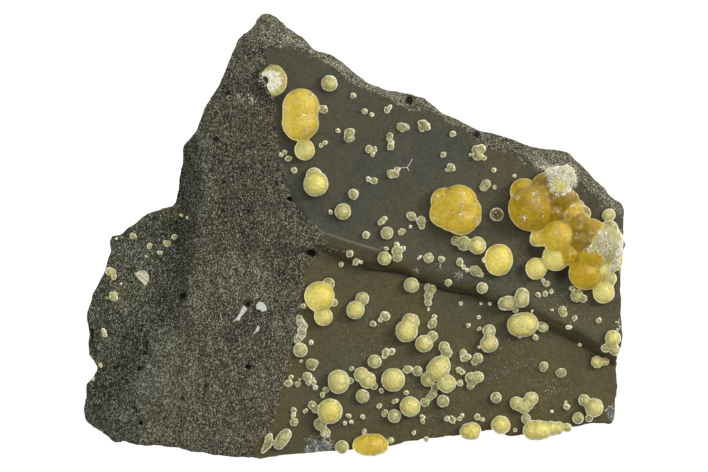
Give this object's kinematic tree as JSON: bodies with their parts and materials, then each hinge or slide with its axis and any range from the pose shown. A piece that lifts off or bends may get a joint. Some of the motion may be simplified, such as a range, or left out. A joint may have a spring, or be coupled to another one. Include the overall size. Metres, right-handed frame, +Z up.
{
  "type": "calcite on basalt mineral specimen",
  "caption": "Broken fragment of grey basalt with a smooth cavity lining that carries rounded honey and pale calcite growths; lies on its flat back.",
  "frame": {"origin": "under the centre of the plan outline, on the flat back that the fragment rests on", "axes": "+Z up, out of the cavity lining; +X along the longest side, from the thin lobe toward the thick end; +Y toward the narrow tip"},
  "size_m": [0.1089, 0.0889, 0.0414],
  "materials": {
    "basalt": "matte broken basalt, finer and darker on the cavity lining",
    "honey_calcite": "satin translucent honey-yellow calcite",
    "pale_calcite": "satin translucent pale yellow-green calcite"
  },
  "bodies": {
    "root": {"basalt": "basalt", "calcite_broken_ball": "honey_calcite", "calcite_honey_twin": "honey_calcite", "calcite_centre_cluster": "honey_calcite", "calcite_corner_cluster": "honey_calcite", "calcite_ball_01": "pale_calcite", "calcite_group_01": "pale_calcite", "calcite_pair_01": "pale_calcite", "calcite_pair_02": "pale_calcite", "calcite_ball_02": "pale_calcite", "calcite_ball_03": "pale_calcite", "calcite_ball_04": "pale_calcite", "calcite_pair_03": "pale_calcite", "calcite_ball_05": "pale_calcite", "calcite_pale_trio": "pale_calcite", "calcite_group_02": "pale_calcite", "calcite_ball_06": "pale_calcite", "calcite_ball_07": "pale_calcite", "calcite_group_03": "honey_calcite", "calcite_ball_08": "pale_calcite", "calcite_ball_09": "pale_calcite", "calcite_group_04": "pale_calcite", "calcite_group_05": "honey_calcite", "calcite_pair_04": "pale_calcite", "calcite_group_06": "pale_calcite", "calcite_pair_05": "pale_calcite", "calcite_pair_06": "pale_calcite", "calcite_group_07": "pale_calcite", "calcite_pale_bar": "pale_calcite", "calcite_pair_07": "pale_calcite", "calcite_group_08": "pale_calcite", "calcite_pair_08": "pale_calcite", "calcite_ball_10": "pale_calcite", "calcite_pair_09": "pale_calcite", "calcite_ball_11": "pale_calcite", "calcite_pair_10": "pale_calcite", "calcite_group_09": "pale_calcite", "calcite_group_10": "pale_calcite", "calcite_long_bunch": "pale_calcite", "calcite_ball_12": "pale_calcite", "calcite_ball_13": "pale_calcite", "calcite_group_11": "pale_calcite", "calcite_ball_14": "pale_calcite", "calcite_ball_15": "pale_calcite", "calcite_group_12": "pale_calcite", "calcite_group_13": "pale_calcite", "calcite_ball_16": "pale_calcite", "calcite_ball_17": "pale_calcite", "calcite_group_14": "pale_calcite", "calcite_ball_18": "pale_calcite", "calcite_ball_19": "pale_calcite", "calcite_ball_20": "pale_calcite", "calcite_rim_row": "pale_calcite", "calcite_pair_11": "pale_calcite", "calcite_group_15": "pale_calcite", "calcite_pair_12": "pale_calcite", "calcite_ball_21": "pale_calcite", "calcite_rim_honey": "pale_calcite"}
  },
  "joints": []
}
